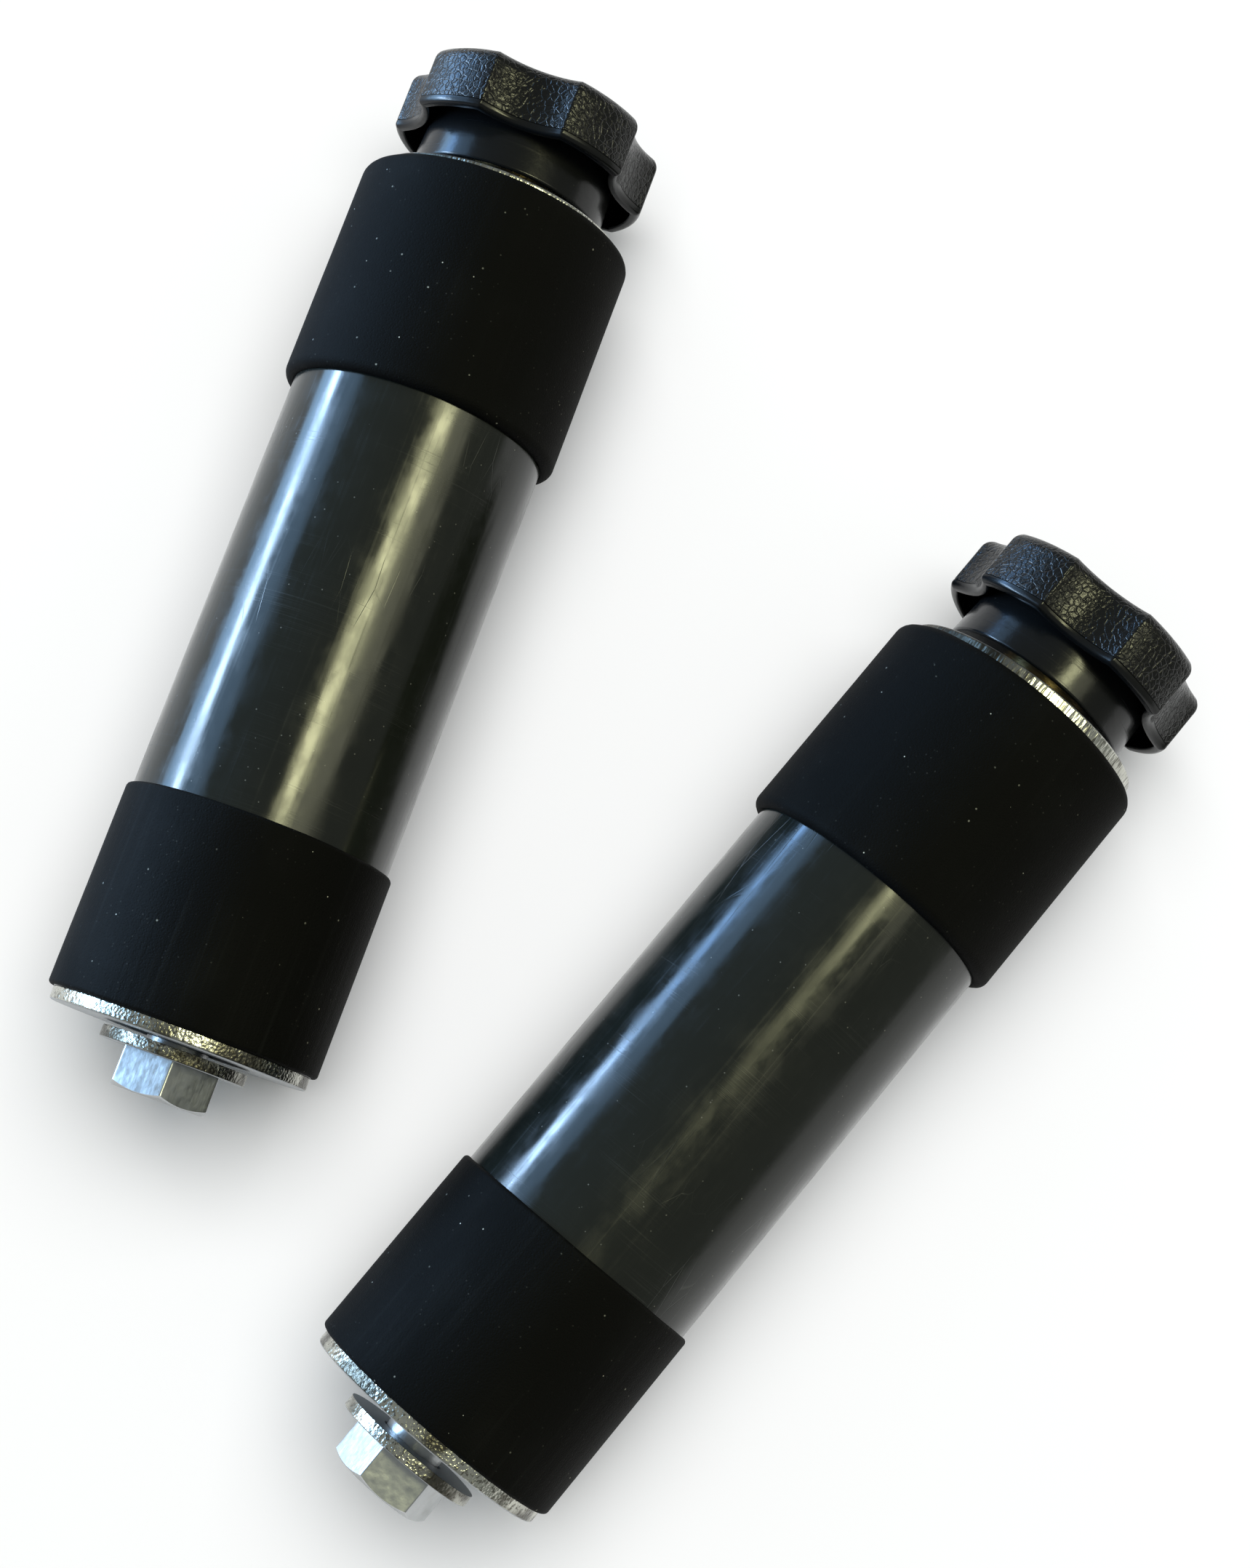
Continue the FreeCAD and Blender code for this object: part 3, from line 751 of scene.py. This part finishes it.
def make_knob(side, place, grip, smooth):
    """A moulded hand knob: a lobed crown, hollow underneath, round a tapered hub."""
    node = side + "_knob"
    low = span(node, place)[0]
    roof = KNOB_HEIGHT - LOBE_ROOF
    bm = bmesh.new()
    below = None
    for inset, height in knob_stations(roof):
        line = draw_lobe(bm, inset, height)
        if below:
            bmesh.ops.bridge_loops(bm, edges=below + line)
        below = line
    bmesh.ops.spin(bm, geom=bm.verts[:] + bm.edges[:] + bm.faces[:], cent=(0, 0, 0),
                   axis=(0, 0, 1), angle=2 * math.pi * (LOBES - 1) / LOBES, steps=LOBES - 1,
                   use_duplicate=True)
    bmesh.ops.remove_doubles(bm, verts=bm.verts, dist=NEAR)
    rim = [edge for edge in bm.edges if edge.is_boundary and edge.verts[0].co.z > roof + NEAR]
    bmesh.ops.edgeloop_fill(bm, edges=rim)
    bmesh.ops.recalc_face_normals(bm, faces=bm.faces)
    # where a scoop meets a lobe, outside, the crease is a soft one
    creases = [edge for edge in bm.edges if not edge.is_boundary
               and edge.calc_face_angle() > CREASE_ANGLE
               and is_upright(edge)
               and edge.verts[0].co.z > LOBE_UNDERSIDE + NEAR
               and edge.verts[0].co.xy.length > KNOB_RADIUS - LOBE_WALL / 2]
    round_off(bm, creases, CREASE_ROUND, segments=3)

    turn_outline(bm, [
        (HUB_TOP_RADIUS, roof),
        (HUB_BASE_RADIUS, 0),
        (INSERT_RADIUS, 0),
        (INSERT_RADIUS, INSERT_DEPTH),
        (TIP_ROOM_RADIUS, INSERT_DEPTH),
        (TIP_ROOM_RADIUS, TIP_ROOM_DEPTH),
        (0, TIP_ROOM_DEPTH),
    ], closed=False)
    round_off(bm, rim_edges(bm, HUB_BASE_RADIUS, 0), HUB_EDGE_ROUND, segments=4)
    round_off(bm, rim_edges(bm, INSERT_RADIUS, 0), HUB_MOUTH_ROUND, segments=3)
    bmesh.ops.bridge_loops(bm, edges=[edge for edge in bm.edges if edge.is_boundary])
    # the mould's grain covers the crown's side and top, and the rest is plain
    parting = LOBE_UNDERSIDE + PARTING_HEIGHT + PARTING_GROOVE
    for face in bm.faces:
        centre = face.calc_center_median()
        outside = centre.xy.length > KNOB_RADIUS - VALLEY_DEPTH - LOBE_WALL / 2
        on_crown = centre.z > parting and (outside or centre.z > roof + NEAR)
        face.material_index = 0 if on_crown else 1
    seat = place @ Matrix.Translation((0, 0, low)) @ Matrix.Rotation(VALLEY_TURN[side], 4, "Z")
    lay(bm, side + "_hand_knob", side, seat, side + "_knob", node, [grip, smooth])


pipe = pipe_finish()
drawn_rubber = rubber_finish("drawn_rubber", 1.0)
plain_rubber = rubber_finish("plain_rubber", 0.25)
knob_grip = knob_grip_finish()
knob_smooth = knob_smooth_finish()
zinc_face = zinc_face_finish()
granular_rim = zinc_rim_finish("zinc_torn_rim", RIM_GRAIN)
bolt_zinc = bolt_finish()
brass = brass_finish()

for side in ("left", "right"):
    place = stick_place(side)
    pipe_high = span(side + "_tube", place)[1]
    wide_radius = reach(side + "_base_washer", place)
    base_low, base_high = span(side + "_base_washer", place)
    small_low, small_high = span(side + "_small_washer", place)
    wide_thickness = base_high - base_low
    make_pipe(side, place, pipe)
    make_sleeve(side, place, "lower", LOWER_SLEEVE_ROUND, drawn_rubber)
    make_sleeve(side, place, "upper", UPPER_SLEEVE_ROUND, plain_rubber)
    # the base and small washers lie rolled face down, so they are turned end for end
    upside_down = Matrix.Rotation(math.pi, 4, "X")
    make_washer(side, side + "_base_washer", side + "_base_plate", side + "_stick",
                place @ Matrix.Translation((0, 0, base_high)) @ upside_down,
                wide_radius, wide_thickness, WASHER_ROLL, zinc_face, granular_rim)
    lean = TOP_WASHER_LEAN[side]
    lean_turn = TOP_WASHER_LEAN_TURN[side]
    # the rim's painted shade lies to the stick's left and the rim is unshaded to its right, however
    # the washer is turned
    unshaded_side = (math.sin(lean_turn), math.cos(lean_turn), 0)
    striated_rim = zinc_rim_finish(side + "_zinc_striated_rim", TOP_RIM_GRAIN, unshaded_side)
    top_seat = (place @ Matrix.Translation((0, 0, pipe_high + wide_radius * math.sin(lean)))
                @ Matrix.Rotation(lean_turn, 4, "Z")
                @ Matrix.Rotation(-lean, 4, "Y"))
    make_washer(side, side + "_top_washer", side + "_top_plate", side + "_stick", top_seat,
                wide_radius, wide_thickness, WASHER_ROLL, zinc_face, striated_rim)
    make_washer(side, side + "_small_washer", side + "_head_plate", side + "_bolt",
                place @ Matrix.Translation((0, 0, small_high)) @ upside_down,
                reach(side + "_small_washer", place), small_high - small_low,
                SMALL_WASHER_ROLL, zinc_face, granular_rim)
    make_bolt(side, place, bolt_zinc)
    make_knob(side, place, knob_grip, knob_smooth)
    bush = frame["nodes"][side + "_knob_insert"]
    bush.data.materials.clear()
    bush.data.materials.append(brass)


# --- floor, light and camera ----------------------------------------------------------------------

STICKS_MIDDLE = Vector((0, 0, 0.03))
DOWN_THE_TABLE = (0, 1, 0)
LAMP_RUN = (0.90, 0.44, 0)


def add_panel(name, spot, along, length, width, colour, radiance):
    """A soft rectangular light of a known radiance, turned to the sticks, its length one way."""
    light = bpy.data.lights.new(name, "AREA")
    light.shape = "RECTANGLE"
    light.size = length
    light.size_y = width
    light.color = colour
    # an area light's power is its radiance over its area and over a half space
    light.energy = radiance * length * width * math.pi
    back = (Vector(spot) - STICKS_MIDDLE).normalized()
    across = back.cross(Vector(along)).normalized()
    turned = Matrix((across.cross(back), across, back)).transposed()
    panel = bpy.data.objects.new(name, light)
    panel.location = spot
    panel.rotation_euler = turned.to_euler()
    bpy.context.scene.collection.objects.link(panel)
    return panel


floor_bm = bmesh.new()
bmesh.ops.create_grid(floor_bm, x_segments=1, y_segments=1, size=FLOOR_HALF_WIDTH)
bmesh.ops.translate(floor_bm, verts=floor_bm.verts, vec=(0, 0, -FLOOR_DROP))
floor_mesh = bpy.data.meshes.new("pale_floor")
floor_bm.to_mesh(floor_mesh)
floor_bm.free()
floor_mesh.materials.append(floor_finish())
floor = bpy.data.objects.new("pale_floor", floor_mesh)
bpy.context.scene.collection.objects.link(floor)

# the tinted lights shape the sticks, and one plain white light keeps the floor even and neutral
floor_only = bpy.data.collections.new("floor_only")
floor_only.objects.link(floor)
floor_left_out = bpy.data.collections.new("floor_left_out")
floor_left_out.objects.link(floor)
floor_left_out.collection_objects[0].light_linking.link_state = "EXCLUDE"

# name, place, direction of its length, length, width, colour, radiance
TINTED_PANELS = [
    ("cool_strip", (-0.62, 0.25, 0.188), DOWN_THE_TABLE, 0.42, 0.08, (0.50, 0.72, 1.0), 50.0),
    ("cool_strip_end", (-0.62, 0.69, 0.195), DOWN_THE_TABLE, 0.46, 0.08, (0.24, 0.50, 1.0), 20.0),
    ("cool_halo", (-0.66, 0.40, 0.30), DOWN_THE_TABLE, 1.10, 0.50, (0.34, 0.62, 1.0), 3.4),
    ("cool_low_glow", (-0.60, 0.30, 0.07), DOWN_THE_TABLE, 0.70, 0.13, (0.36, 0.64, 1.0), 8.0),
    ("warm_lamp", (1.27, 0.16, 2.5), LAMP_RUN, 1.05, 0.42, (1.0, 1.0, 0.58), 25.0),
    ("warm_lamp_end", (0.66, -0.13, 2.5), LAMP_RUN, 0.30, 0.42, (1.0, 1.0, 0.58), 2.5),
    ("warm_tail", (1.90, -0.15, 2.2), LAMP_RUN, 1.30, 0.95, (1.0, 1.0, 0.70), 2.6),
]
for panel in TINTED_PANELS:
    add_panel(*panel).light_linking.receiver_collection = floor_left_out
floor_light = add_panel("floor_light", (0.3, 0.5, 2.4), DOWN_THE_TABLE, 2.2, 2.2,
                        (1.0, 1.0, 1.0), 4.3)
floor_light.light_linking.receiver_collection = floor_only

world = bpy.data.worlds.new("dim_room")
world.use_nodes = True
world.node_tree.nodes["Background"].inputs["Color"].default_value = (0.95, 1.0, 0.97, 1.0)
world.node_tree.nodes["Background"].inputs["Strength"].default_value = 0.30
bpy.context.scene.world = world

camera = bpy.data.cameras.new("camera")
camera.lens = 61.65
camera.sensor_width = 36.0
camera.clip_start = 0.01
viewer = bpy.data.objects.new("camera", camera)
viewer.location = (-0.0016742, -0.0985107, 0.51884)
viewer.rotation_euler = (0.18985, -0.0016, 0.0)
bpy.context.scene.collection.objects.link(viewer)
bpy.context.scene.camera = viewer
bpy.context.scene.view_settings.view_transform = "Standard"
